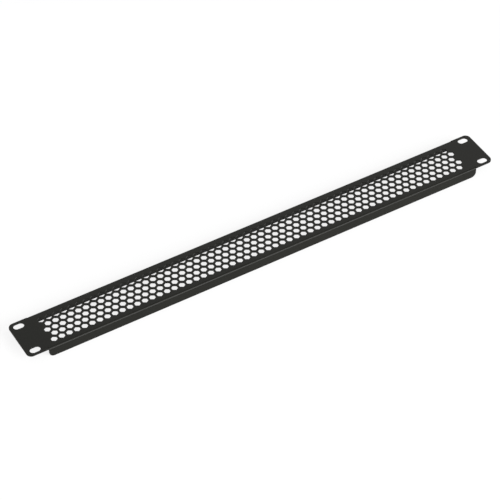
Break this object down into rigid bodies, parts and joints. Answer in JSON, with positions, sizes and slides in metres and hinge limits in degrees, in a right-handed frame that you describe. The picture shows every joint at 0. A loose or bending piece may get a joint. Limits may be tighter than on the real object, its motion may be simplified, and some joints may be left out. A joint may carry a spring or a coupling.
{
  "type": "rack blanking panel",
  "caption": "Vented steel rack blanking panel: a flat face with a honeycomb of holes, slotted ears at its ends and stiffening flanges folded back along its long edges.",
  "frame": {"origin": "the middle of the four slots, on the back of the face, which seats against the rack's rails", "axes": "+X along the panel to its right-hand ear, +Y towards its upper edge, +Z out of its face; it lies face up on the free edges of its flanges"},
  "size_m": [0.4826, 0.0436, 0.0104],
  "materials": {
    "powder_coat": "fine-textured satin black powder coat"
  },
  "bodies": {
    "root": {"blanking_panel": "powder_coat"}
  },
  "joints": []
}
